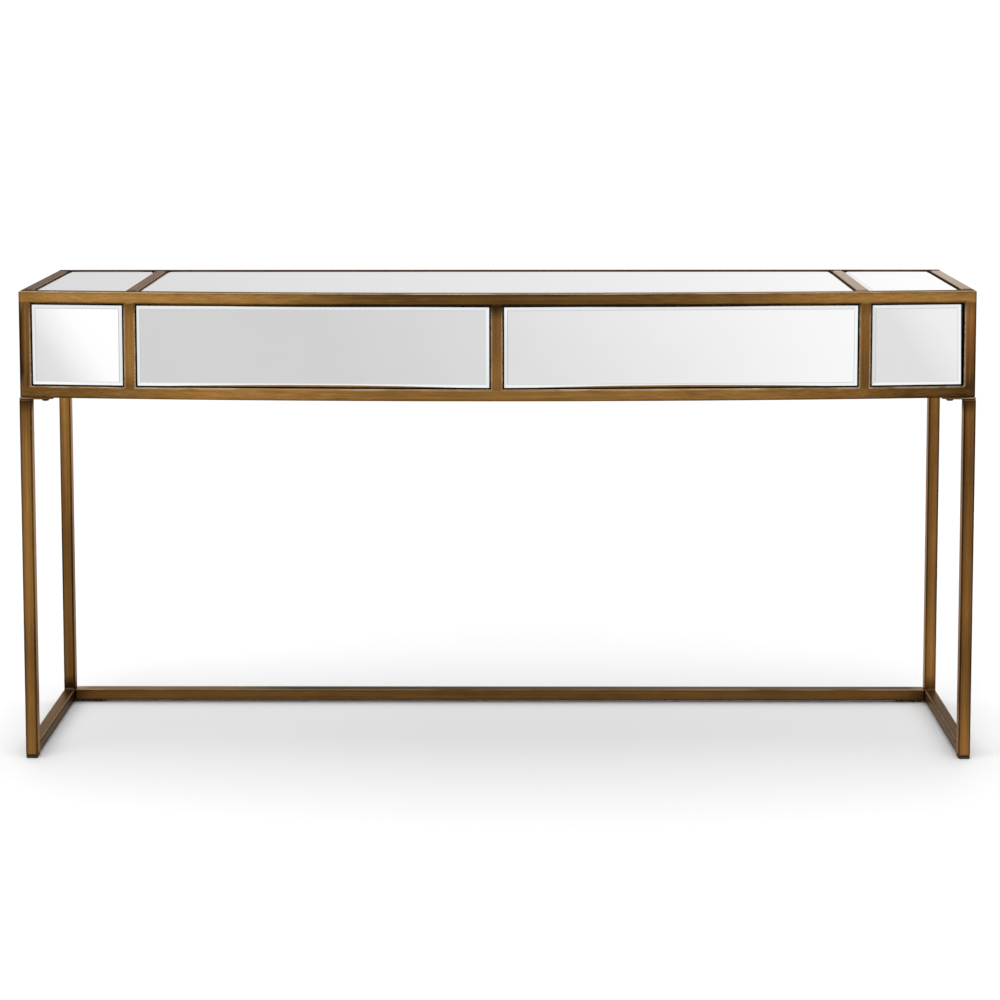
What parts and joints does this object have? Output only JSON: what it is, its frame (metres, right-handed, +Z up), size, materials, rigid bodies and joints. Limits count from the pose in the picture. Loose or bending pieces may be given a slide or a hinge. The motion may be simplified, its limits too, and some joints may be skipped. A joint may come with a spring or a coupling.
{
  "type": "console table",
  "caption": "Bow-front mirrored console or vanity table: antique-brass tube frame, bevelled mirror panels, push-to-open drawers, open sled legs and a rear floor stretcher.",
  "frame": {"origin": "on the floor, at the middle of the footprint", "axes": "+X along the table's length to the right as seen from the front, +Y to the rear, +Z up; the bowed drawer front faces -Y"},
  "size_m": [1.524, 0.457, 0.758],
  "materials": {
    "antique_brass": "antique brass paint on steel tube, brushed along its length, darker in the corners, worn light on the edges",
    "mirror": "silvered clear glass with a polished bevel",
    "black_board": "black painted board, matt",
    "drawer_wood": "clear-lacquered light plywood",
    "zinc_steel": "zinc-plated steel",
    "screw_steel": "dark bronze plated steel",
    "black_plastic": "black moulded plastic"
  },
  "bodies": {
    "table": {"front_top_rail": "antique_brass", "front_bottom_rail": "antique_brass", "rear_top_rail": "antique_brass", "rear_bottom_rail": "antique_brass", "left_top_rail": "antique_brass", "right_top_rail": "antique_brass", "left_bottom_rail": "antique_brass", "right_bottom_rail": "antique_brass", "front_left_post": "antique_brass", "front_right_post": "antique_brass", "rear_left_post": "antique_brass", "rear_right_post": "antique_brass", "left_divider": "antique_brass", "center_divider": "antique_brass", "right_divider": "antique_brass", "left_top_crossbar": "antique_brass", "right_top_crossbar": "antique_brass", "front_left_leg": "antique_brass", "front_right_leg": "antique_brass", "rear_left_leg": "antique_brass", "rear_right_leg": "antique_brass", "left_floor_rail": "antique_brass", "right_floor_rail": "antique_brass", "rear_stretcher": "antique_brass", "left_stretcher_tab": "antique_brass", "right_stretcher_tab": "antique_brass", "front_left_plate_screw": "screw_steel", "front_right_plate_screw": "screw_steel", "rear_left_plate_screw": "screw_steel", "rear_right_plate_screw": "screw_steel", "left_tab_screw": "screw_steel", "right_tab_screw": "screw_steel", "front_left_glide": "black_plastic", "front_right_glide": "black_plastic", "rear_left_glide": "black_plastic", "rear_right_glide": "black_plastic", "top_left_mirror_panel": "mirror", "top_center_mirror_panel": "mirror", "top_right_mirror_panel": "mirror", "front_left_mirror_panel": "mirror", "front_right_mirror_panel": "mirror", "left_side_mirror_panel": "mirror", "right_side_mirror_panel": "mirror", "bottom_panel": "black_board", "back_panel": "black_board", "left_partition": "black_board", "center_partition": "black_board", "right_partition": "black_board", "left_case_runner": "zinc_steel", "right_case_runner": "zinc_steel", "left_push_latch": "black_plastic", "right_push_latch": "black_plastic"},
    "left_drawer": {"left_drawer_mirror": "mirror", "left_drawer_front": "black_board", "left_drawer_box": "drawer_wood", "left_drawer_runner": "zinc_steel"},
    "right_drawer": {"right_drawer_mirror": "mirror", "right_drawer_front": "black_board", "right_drawer_box": "drawer_wood", "right_drawer_runner": "zinc_steel"}
  },
  "joints": [
    {"name": "left_drawer_slide", "type": "slide", "parent": "table", "child": "left_drawer", "axis": [0, -1, 0], "range_m": [0, 0.26]},
    {"name": "right_drawer_slide", "type": "slide", "parent": "table", "child": "right_drawer", "axis": [0, -1, 0], "range_m": [0, 0.26]}
  ]
}
